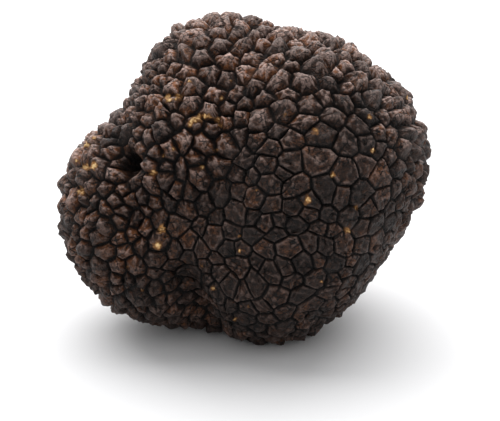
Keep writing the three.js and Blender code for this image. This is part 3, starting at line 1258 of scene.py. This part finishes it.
    def marks(
        self,
        spots: dict[str, np.ndarray],
        skin: np.ndarray,
        shift: np.ndarray,
        directions: np.ndarray,
        facing: np.ndarray,
    ) -> dict[str, np.ndarray]:
        """What the finish reads at each point of the skin.

        Args:
            spots: Points as given by spread.
            skin: The raised places.
            shift: Move from the body's own frame to the row frame.
            directions: Unit vectors out of the core.
            facing: The skin's own normals.

        Returns:
            How far it stands out, looks up, lies in a groove or in the depth of a furrow, how light it
            is by its wart's tone and by painted light and shade, how rusty it is, and how strongly it
            shows bare flesh.
        """
        wart, body = spots["wart"], self.layout.body
        bases = body.point(directions)
        normals = body.normal(bases)
        groove = self.shading.groove_dark(spots["gap"], self.layout.flatness()[wart])
        toward = unit(skin - CORE) @ self.flecks.view.back()
        away = spots["places"] - self.layout.middles[wart]
        away = away + self.leans()[wart] * self.layout.pitches[wart, None]
        far = self.flecks.far(wart, away, toward)
        return {
            "edge": self.convexity(skin, normals, spots["faces"]),
            # Read by the finish for painted light on what looks up.
            "upper": self.shading.upward(normals, facing),
            # Read by the finish as painted shade by the grooves and nicks, and as duller skin.
            "groove": np.maximum(groove, self.nick.cut(spots)),
            # Random tone of each wart, plus the painted light and shade of the zones.
            "tone": scatter(wart, Purpose.TONE) + summed(self.shading.painted_light_zones, bases),
            "rust": summed(self.shading.rust_zones, bases),
            # Read by the finish as painted shade in the pit and the seam.
            "deep": self.shading.deep(body, bases),
            "fleck": np.maximum(self.flecks.front(skin + shift, toward), far),
        }

    @staticmethod
    def convexity(skin: np.ndarray, normals: np.ndarray, faces: np.ndarray) -> np.ndarray:
        """How far each point stands out of its neighbours' mean: ridges above 0, creases below.

        Args:
            skin: The raised places.
            normals: Outward direction at each.
            faces: Triangles of the closed mesh, so that each edge is met once from either end.

        Returns:
            Millimetres along the normal, evened out once over the neighbours.
        """
        here, there = faces.ravel(), np.roll(faces, -1, axis=1).ravel()
        count = np.bincount(here, minlength=len(skin))
        mean = np.stack([np.bincount(here, skin[there, axis], len(skin)) for axis in range(3)], -1)
        out = ((skin - mean / count[:, None]) * normals).sum(-1)
        return (out + np.bincount(here, out[there], len(skin)) / count) / 2

    @staticmethod
    def write_mesh(mesh: bpy.types.Mesh, points: np.ndarray, faces: np.ndarray) -> None:
        """Fills a mesh from arrays and shades it smoothly.

        Args:
            mesh: The empty mesh.
            points: Places in metres.
            faces: Triangles, facing outward.
        """
        mesh.vertices.add(len(points))
        mesh.vertices.foreach_set("co", points.astype(np.float32).ravel())
        mesh.loops.add(faces.size)
        mesh.loops.foreach_set("vertex_index", faces.astype(np.int32).ravel())
        mesh.polygons.add(len(faces))
        mesh.polygons.foreach_set("loop_start", np.arange(0, faces.size, 3, dtype=np.int32))
        mesh.polygons.foreach_set("use_smooth", np.ones(len(faces), dtype=bool))
        mesh.update(calc_edges=True)
        mesh.validate()


@dataclass(frozen=True)
class Band:
    """The two values between which an S-curve climbs from 0 to 1.

    Attributes:
        low: Where it leaves 0.
        high: Where it reaches 1.
    """

    low: float
    high: float


@dataclass(frozen=True)
class Grain:
    """What a noise looks like.

    Attributes:
        size: Width of a grain, in millimetres.
        octaves: How many finer noises are added to it.
        fineness: How strong each is beside the one before.
    """

    size: float
    octaves: float = 2.0
    fineness: float = 0.55


@dataclass
class Wire:
    """A socket that can be used in sums: each operator adds a Math node.

    Attributes:
        nodes: Adds the nodes.
        socket: The output that it stands for.
    """

    nodes: "Nodes"
    socket: bpy.types.NodeSocket

    def math(self, operation: str, *values: "Wire | float") -> "Wire":
        """Joins this socket and the values through one Math node."""
        inputs = dict(enumerate((self, *values)))
        return self.nodes.add("ShaderNodeMath", {"operation": operation}, inputs)

    def __add__(self, other: "Wire | float") -> "Wire":
        """Sum."""
        return self.math("ADD", other)

    __radd__ = __add__

    def __mul__(self, other: "Wire | float") -> "Wire":
        """Product."""
        return self.math("MULTIPLY", other)

    __rmul__ = __mul__

    def __sub__(self, other: "Wire | float") -> "Wire":
        """Difference."""
        return self.math("SUBTRACT", other)

    def __rsub__(self, other: float) -> "Wire":
        """Difference from a number."""
        return self.nodes.add("ShaderNodeMath", {"operation": "SUBTRACT"}, {0: other, 1: self})

    def swing(self, size: float) -> "Wire":
        """How far the value lies above the mean of a noise, times a size."""
        return (self - NOISE_MEAN) * size

    def ramp(self, band: Band) -> "Wire":
        """Eases the socket's value through a band.

        Args:
            band: Where it climbs.

        Returns:
            0 below the band, 1 above it, and an S-curve between.
        """
        settings = {"interpolation_type": "SMOOTHSTEP", "clamp": True}
        values = {0: self, 1: band.low, 2: band.high, 3: 0.0, 4: 1.0}
        return self.nodes.add("ShaderNodeMapRange", settings, values)


@dataclass(frozen=True)
class Line:
    """A straight line over a value.

    Attributes:
        slope: How fast it climbs.
        base: Its height at 0.
    """

    slope: float
    base: float

    def over(self, value: Wire) -> Wire:
        """Slope times the value, plus the base."""
        return value * self.slope + self.base


@dataclass
class Nodes:
    """Adds nodes to the tree of one material or world.

    Attributes:
        tree: The node tree.
    """

    tree: bpy.types.NodeTree

    @classmethod
    def of(cls, owner: bpy.types.Material | bpy.types.World) -> "Nodes":
        """Turns on the nodes of a material or world, and empties its tree.

        Args:
            owner: The material or world.

        Returns:
            What adds nodes to it.
        """
        owner.use_nodes = True
        owner.node_tree.nodes.clear()
        return cls(owner.node_tree)

    def place(self, kind: str, settings: dict, inputs: dict) -> bpy.types.Node:
        """Adds a node.

        Args:
            kind: Node type.
            settings: Properties of the node, set before its sockets.
            inputs: Socket name or number to a value or a Wire.

        Returns:
            The new node.
        """
        node = self.tree.nodes.new(kind)
        for name, value in settings.items():
            setattr(node, name, value)
        for key, value in inputs.items():
            if isinstance(value, Wire):
                self.tree.links.new(value.socket, node.inputs[key])
            else:
                node.inputs[key].default_value = value
        return node

    def add(self, kind: str, settings: dict, inputs: dict, output: int | str = 0) -> Wire:
        """Adds a node as place does, and returns the chosen one of its outputs."""
        return Wire(self, self.place(kind, settings, inputs).outputs[output])

    def mix(self, factor: Wire | float, first: Wire | tuple, second: Wire | tuple) -> Wire:
        """A colour between two others."""
        settings = {"data_type": "RGBA", "clamp_factor": True}
        return self.add("ShaderNodeMix", settings, {0: factor, 6: first, 7: second}, 2)

    def scaled(self, colour: Wire, factor: Wire) -> Wire:
        """A colour made lighter or darker by a factor."""
        return self.add("ShaderNodeVectorMath", {"operation": "SCALE"}, {0: colour, 3: factor})

    def attribute(self, name: str) -> Wire:
        """A value stored on the mesh."""
        settings = {"attribute_name": name, "attribute_type": "GEOMETRY"}
        return self.add("ShaderNodeAttribute", settings, {}, "Fac")

    def end(self, shader: str, output: str, inputs: dict) -> None:
        """Closes the tree with a shader that feeds an output."""
        self.place(output, {}, {"Surface": self.add(shader, {}, inputs)})

    def noise(self, place: Wire, grain: Grain) -> Wire:
        """Smooth noise.

        Args:
            place: Where it is read.
            grain: What it looks like.

        Returns:
            Values from 0 to 1, about one half on the mean.
        """
        inputs = {"Vector": place, "Scale": 1 / (grain.size * METRES)}
        inputs |= {"Detail": grain.octaves, "Roughness": grain.fineness}
        return self.add("ShaderNodeTexNoise", {}, inputs)

    def cracks(self, place: Wire, cell: float) -> Wire:
        """Distance to the nearest edge of a net of random cells, in cells."""
        inputs = {"Vector": place, "Scale": 1 / (cell * METRES), "Randomness": 1.0}
        return self.add("ShaderNodeTexVoronoi", {"feature": "DISTANCE_TO_EDGE"}, inputs)


Colour = tuple[float, float, float, float]


@dataclass
class Ground:
    """What every layer of the truffle's finish starts from.

    Attributes:
        nodes: Adds nodes to the material.
        place: Place on the object.
        grain: The noise that roughens all of it.
        speck: A finer one.
        groove: How near a groove, 0 to 1.
        tone: How light the wart is, by its own tone and by painted light and shade.
        edge: How far it stands out, in millimetres.
        upper: How far it looks up, 0 to 1.
    """

    nodes: Nodes
    place: Wire
    grain: Wire
    speck: Wire
    groove: Wire
    tone: Wire
    edge: Wire
    upper: Wire

    @classmethod
    def of(cls, nodes: Nodes, grain: Grain, speck: Grain) -> "Ground":
        """Adds the nodes that the layers share.

        Args:
            nodes: Adds nodes to the material.
            grain: The noise that roughens all of it.
            speck: A finer one.

        Returns:
            The shared sockets.
        """
        place = nodes.add("ShaderNodeTexCoord", {}, {}, "Object")
        noises = (nodes.noise(place, grain), nodes.noise(place, speck))
        marks = (nodes.attribute(name) for name in ("groove", "tone", "edge", "upper"))
        return cls(nodes, place, *noises, *marks)


@dataclass(frozen=True)
class RustyBrown:
    """Brown skin with rusty blotches, which are commoner on light warts and on what looks up.

    Attributes:
        brown: Plain skin.
        rust: The blotches.
        blotches: Noise that places them.
        speck: How much the specks add to it.
        tone: How much the wart's tone, with the zones' painted light and shade, adds.
        upper: How much looking up adds.
        band: Where on the sum the brown turns to rust.
    """

    brown: Colour = (0.030, 0.0128, 0.0073, 1)
    rust: Colour = (0.095, 0.034, 0.012, 1)
    blotches: Grain = Grain(2.6, 3.0)
    speck: float = 0.35
    tone: float = 0.1
    upper: float = 0.05
    band: Band = Band(0.45, 0.68)

    def colour(self, ground: Ground) -> Wire:
        """Mixes the rust into the brown.

        Args:
            ground: The shared sockets.

        Returns:
            The lowest layer's colour.
        """
        rusty = ground.nodes.noise(ground.place, self.blotches) + ground.speck.swing(self.speck)
        rusty = rusty + ground.tone.swing(self.tone) + ground.upper.swing(self.upper)
        rusty = rusty + ground.nodes.attribute("rust")
        return ground.nodes.mix(rusty.ramp(self.band), self.brown, self.rust)


@dataclass(frozen=True)
class WearAndSheen:
    """Grey wear and a painted highlight on what stands out, with painted sheen that makes it stronger
    on what looks up.

    Attributes:
        grey: Worn skin, and the painted highlight and sheen.
        grain: How much the grain adds to how far skin stands out, in millimetres.
        band: Where on the sum the grey begins and is full.
        upward: Strength of the grey over looking up, which is painted sheen.
    """

    grey: Colour = (0.178, 0.123, 0.106, 1)
    grain: float = 0.06
    band: Band = Band(0.01, 0.1)
    upward: Line = Line(0.5, 0.42)

    def over(self, ground: Ground, colour: Wire) -> Wire:
        """Mixes the grey into a colour."""
        # Wear and painted highlight where the skin stands out, with painted sheen on what looks up.
        worn = (ground.edge + ground.grain.swing(self.grain)).ramp(self.band)
        return ground.nodes.mix(worn * self.upward.over(ground.upper), colour, self.grey)


@dataclass(frozen=True)
class Lightness:
    """Light and dark warts, partly painted light and shade, mottling, painted light on faces that look
    up and painted shade in creases.

    Attributes:
        tone: Lightness over the wart's tone and the painted light and shade of the zones.
        grain_share: Share of the grain in the mottling.
        speck_share: Share of the specks in it.
        mottle_band: Where on their sum it turns from dark to light.
        mottle: Lightness over the mottling.
        upward: Painted light over looking up.
        crease_band: Depth below its neighbours at which skin is a crease, in millimetres.
        crease_dark: How much darker a crease is, as painted shade.
    """

    tone: Line = Line(0.78, 0.48)
    grain_share: float = 0.72
    speck_share: float = 0.28
    mottle_band: Band = Band(0.36, 0.64)
    mottle: Line = Line(1.15, 0.37)
    upward: Line = Line(1.25, 0.62)
    crease_band: Band = Band(0.0, 0.08)
    crease_dark: float = 0.6

    def over(self, ground: Ground, colour: Wire) -> Wire:
        """Scales a colour by the product of the four.

        Args:
            ground: The shared sockets.
            colour: What lies below.

        Returns:
            The new colour.
        """
        mottle = ground.grain * self.grain_share + ground.speck * self.speck_share
        light = self.tone.over(ground.tone) * self.mottle.over(mottle.ramp(self.mottle_band))
        # Painted light on what looks up, and painted shade in the creases.
        light = light * self.upward.over(ground.upper)
        crease = (0 - ground.edge).ramp(self.crease_band)
        return ground.nodes.scaled(colour, light * (1 - crease * self.crease_dark))


@dataclass(frozen=True)
class FineCracks:
    """Lines between random cells, in some patches of the skin.

    Attributes:
        cell: Size of a cell, in millimetres.
        warp: How much the grain bends the lines.
        width: From the middle of a line to its side, in cells.
        patches: Noise that places the patches.
        patch_band: Where on it a patch begins and is full.
    """

    cell: float = 1.25
    warp: float = 0.2
    width: Band = Band(0.0, 0.09)
    patches: Grain = Grain(2.1, 1.0)
    patch_band: Band = Band(0.46, 0.58)

    def lines(self, ground: Ground) -> Wire:
        """S-curve of the distance to the lines, times one of the patches' noise.

        Args:
            ground: The shared sockets.

        Returns:
            1 on a crack and 0 beside it.
        """
        crack = ground.nodes.cracks(ground.place, self.cell)
        line = 1 - (crack + ground.grain.swing(self.warp)).ramp(self.width)
        return line * ground.nodes.noise(ground.place, self.patches).ramp(self.patch_band)


@dataclass(frozen=True)
class PaintedShade:
    """Painted shade: the black of grooves, deep furrows and cracks, a little weaker on what looks up,
    as painted light from above.

    Attributes:
        painted_shade: The black of the painted shade.
        grain: How much the grain frays it.
        crack: How dark a crack is.
        band: Where on the darkest of groove, furrow and crack it begins and is full.
        upward: How much weaker it is on what looks up, where painted light from above fills the
            depths.
    """

    painted_shade: Colour = (0.002, 0.0015, 0.0014, 1)
    grain: float = 0.9
    crack: float = 0.8
    band: Band = Band(0.08, 0.75)
    upward: float = 0.3

    def over(self, ground: Ground, colour: Wire, crack: Wire) -> Wire:
        """Mixes the black into a colour.

        Args:
            ground: The shared sockets.
            colour: What lies below.
            crack: 1 on a crack.

        Returns:
            The new colour.
        """
        # Painted shade in the grooves, the deep furrows and the cracks.
        dark = ground.groove + ground.grain.swing(self.grain)
        dark = dark.math("MAXIMUM", ground.nodes.attribute("deep"))
        dark = dark.math("MAXIMUM", crack * self.crack)
        # Painted light on what looks up makes it weaker.
        share = dark.ramp(self.band) * (1 - ground.upper * ground.upper * self.upward)
        return ground.nodes.mix(share, colour, self.painted_shade)


@dataclass(frozen=True)
class BareFlesh:
    """Chipped flecks: a tan rim, ochre within it and straw in the middle.

    Attributes:
        tan: The rim.
        ochre: The flesh within it.
        straw: The middle.
        chips: Noise that chips the edges.
        chip: How much it adds to a fleck's strength.
        grain: How much the grain adds.
        rim_band: Where on the sum the tan begins and is full.
        rim_share: How strong the tan is at most.
        straw_grain: How much more the grain adds for the straw.
        straw_band: Where the ochre turns to straw.
        band: Where the ochre begins and is full.
    """

    tan: Colour = (0.16, 0.07, 0.022, 1)
    ochre: Colour = (0.36, 0.165, 0.046, 1)
    straw: Colour = (0.88, 0.61, 0.29, 1)
    chips: Grain = Grain(0.95, 1.5)
    chip: float = 1.3
    grain: float = 0.35
    rim_band: Band = Band(0.34, 0.62)
    rim_share: float = 0.75
    straw_grain: float = 0.9
    straw_band: Band = Band(0.68, 1.08)
    band: Band = Band(0.58, 0.8)

    def bareness(self, ground: Ground) -> Wire:
        """The fleck's strength, chipped by two noises."""
        chip = ground.nodes.noise(ground.place, self.chips).swing(self.chip)
        return ground.nodes.attribute("fleck") + chip + ground.grain.swing(self.grain)

    def over(self, ground: Ground, colour: Wire, bare: Wire) -> Wire:
        """Mixes the three colours into another.

        Args:
            ground: The shared sockets.
            colour: What lies below.
            bare: As given by bareness.

        Returns:
            The new colour.
        """
        colour = ground.nodes.mix(bare.ramp(self.rim_band) * self.rim_share, colour, self.tan)
        pale = (bare + ground.grain.swing(self.straw_grain)).ramp(self.straw_band)
        flesh = ground.nodes.mix(pale, self.ochre, self.straw)
        return ground.nodes.mix(bare.ramp(self.band), colour, flesh)


@dataclass(frozen=True)
class Relief:
    """Grain, specks, cracks and flecks that are too fine for the mesh.

    Attributes:
        grain: Height of the grain, as a share of the whole.
        speck: Height of the specks.
        crack: Depth of the cracks.
        flesh_band: Where on a fleck's bareness its height begins and is full.
        flesh: Height of the flecks.
        strength: Strength of the bump.
        height: The whole, in millimetres.
    """

    grain: float = 1.2
    speck: float = 0.45
    crack: float = 0.8
    flesh_band: Band = Band(0.3, 0.8)
    flesh: float = 0.5
    strength: float = 0.9
    height: float = 0.32

    def normal(self, ground: Ground, crack: Wire, bare: Wire) -> Wire:
        """Bumps the skin by the sum of the four.

        Args:
            ground: The shared sockets.
            crack: 1 on a crack.
            bare: How bare the flesh is.

        Returns:
            The bumped normal.
        """
        relief = ground.grain * self.grain + ground.speck * self.speck - crack * self.crack
        relief = relief + bare.ramp(self.flesh_band) * self.flesh
        inputs = {"Strength": self.strength, "Distance": self.height * METRES, "Height": relief}
        return ground.nodes.add("ShaderNodeBump", {}, inputs)


@dataclass(frozen=True)
class TruffleFinish:
    """Dull brown-black skin, with painted shade black in the grooves, and a few bare ochre flecks.

    Attributes:
        grain: The noise that roughens all layers.
        speck: A finer one.
        skin: The lowest layer.
        wear_and_sheen: Grey where it is worn, and painted highlight and sheen.
        light: Light and dark over both, partly painted light and shade.
        cracks: Fine lines, which the painted shade blackens and the relief sinks.
        painted_shade: The black of the depths.
        flesh: The bare flecks, over all the rest.
        relief: Bumps too fine for the mesh.
        specular: Strength of its shine.
        roughness: How dull it is.
        grain_roughness: How much that varies with the grain.
        groove_roughness: How much duller the grooves are.
    """

    grain: Grain = Grain(0.5, 3.0, 0.6)
    speck: Grain = Grain(0.21, 1.0)
    skin: RustyBrown = RustyBrown()
    wear_and_sheen: WearAndSheen = WearAndSheen()
    light: Lightness = Lightness()
    cracks: FineCracks = FineCracks()
    painted_shade: PaintedShade = PaintedShade()
    flesh: BareFlesh = BareFlesh()
    relief: Relief = Relief()
    specular: float = 0.24
    roughness: float = 0.52
    grain_roughness: float = 0.3
    groove_roughness: float = 0.25

    def material(self) -> bpy.types.Material:
        """Builds the material, layer over layer.

        Returns:
            A new material.
        """
        material = bpy.data.materials.new("truffle_skin")
        nodes = Nodes.of(material)
        ground = Ground.of(nodes, self.grain, self.speck)
        crack = self.cracks.lines(ground)
        bare = self.flesh.bareness(ground)
        colour = self.skin.colour(ground)
        # Wear, painted highlight on rims and painted sheen on what looks up.
        colour = self.wear_and_sheen.over(ground, colour)
        # Painted light and shade, with the tone and the mottling.
        colour = self.light.over(ground, colour)
        # Painted shade in the grooves, the deep furrows and the cracks.
        colour = self.painted_shade.over(ground, colour, crack)
        colour = self.flesh.over(ground, colour, bare)
        rough = ground.grain.swing(self.grain_roughness) + self.roughness
        inputs = {
            "Base Color": colour,
            "Specular IOR Level": self.specular,
            "Roughness": rough + ground.groove * self.groove_roughness,
            "Normal": self.relief.normal(ground, crack, bare),
        }
        nodes.end(*MATERIAL_END, inputs)
        return material


@dataclass(frozen=True)
class PlainFinish:
    """An even matt colour.

    Attributes:
        name: What the material is called.
        colour: Its colour.
        roughness: How dull it is.
    """

    name: str
    colour: Colour
    roughness: float = 0.9

    def material(self) -> bpy.types.Material:
        """Builds the material.

        Returns:
            A new material.
        """
        material = bpy.data.materials.new(self.name)
        nodes = Nodes.of(material)
        inputs = {"Base Color": self.colour, "Roughness": self.roughness}
        nodes.end(*MATERIAL_END, inputs)
        return material


@dataclass(frozen=True)
class SoftBox:
    """A square white light that faces the middle of the truffle.

    Attributes:
        name: What it is called.
        place: Where its middle is, in metres.
        edge: Edge of the square, in metres.
        power: How strong it is, in watts.
        aim: The point that it faces, in metres.
    """

    name: str
    place: tuple[float, float, float]
    edge: float
    power: float
    aim: tuple[float, float, float] = (0, 0, 0.025)

    def hang(self) -> None:
        """Adds the light and turns it towards its aim."""
        data = bpy.data.lights.new(self.name, "AREA")
        data.size = self.edge
        data.energy = self.power
        light = bpy.data.objects.new(self.name, data)
        light.location = self.place
        way = np.array(self.aim) - np.array(self.place)
        tilt = math.atan2(math.hypot(way[0], way[1]), -way[2])
        light.rotation_euler = (tilt, 0, math.atan2(way[1], way[0]) - math.pi / 2)
        bpy.context.scene.collection.objects.link(light)
        LOG.info("%s: %.0f W over %.1f m", self.name, self.power, self.edge)


@dataclass
class Studio:
    """The pale floor, the soft lights and the even white sky.

    Attributes:
        floor_edge: Edge of the square floor, in metres.
        floor: Its finish.
        sky: Strength of the sky.
        sky_colour: Its colour.
        boxes: The lights.
    """

    floor_edge: float = 12.0
    floor: PlainFinish = PlainFinish("pale_floor", (0.93, 0.93, 0.94, 1))
    sky: float = 0.6
    sky_colour: Colour = (1, 1, 1, 1)
    boxes: tuple[SoftBox, ...] = (
        SoftBox("overhead", (-0.12, 0.95, 1.15), 2.4, 49),
        SoftBox("backdrop", (0.0, 1.5, 0.5), 1.3, 3),
    )

    def build(self) -> None:
        """Lays the floor, hangs the lights, makes the sky and sets how colours are shown."""
        self.lay_floor()
        for box in self.boxes:
            box.hang()
        self.make_sky()
        bpy.context.scene.view_settings.view_transform = "Standard"

    def lay_floor(self) -> None:
        """Adds the floor, at the level on which the truffle rests."""
        half = self.floor_edge / 2
        corners = [(-half, -half, 0), (half, -half, 0), (half, half, 0), (-half, half, 0)]
        mesh = bpy.data.meshes.new("floor")
        mesh.from_pydata(corners, [], [(0, 1, 2, 3)])
        mesh.materials.append(self.floor.material())
        floor = bpy.data.objects.new("floor", mesh)
        bpy.context.scene.collection.objects.link(floor)
        LOG.info("floor: %.0f m wide, %s", self.floor_edge, self.floor.name)

    def make_sky(self) -> None:
        """Adds the sky, which lights all sides evenly."""
        world = bpy.data.worlds.new("sky")
        nodes = Nodes.of(world)
        inputs = {"Color": self.sky_colour, "Strength": self.sky}
        nodes.end(*WORLD_END, inputs)
        bpy.context.scene.world = world


def main() -> None:
    """Builds the truffle and its studio."""
    logging.basicConfig(level=logging.INFO)
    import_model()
    body = Body()
    LOG.info("body of %d lobes: %s", len(body.lobes), ", ".join(lobe.name for lobe in body.lobes))
    layout = WartLayout(body)
    skin = WartSkin(layout).build(layout.shift())
    skin.data.materials.append(TruffleFinish().material())
    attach(skin, "root")
    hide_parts("truffle")
    Studio().build()
    Portrait().place()


if __name__ == "__main__":
    main()
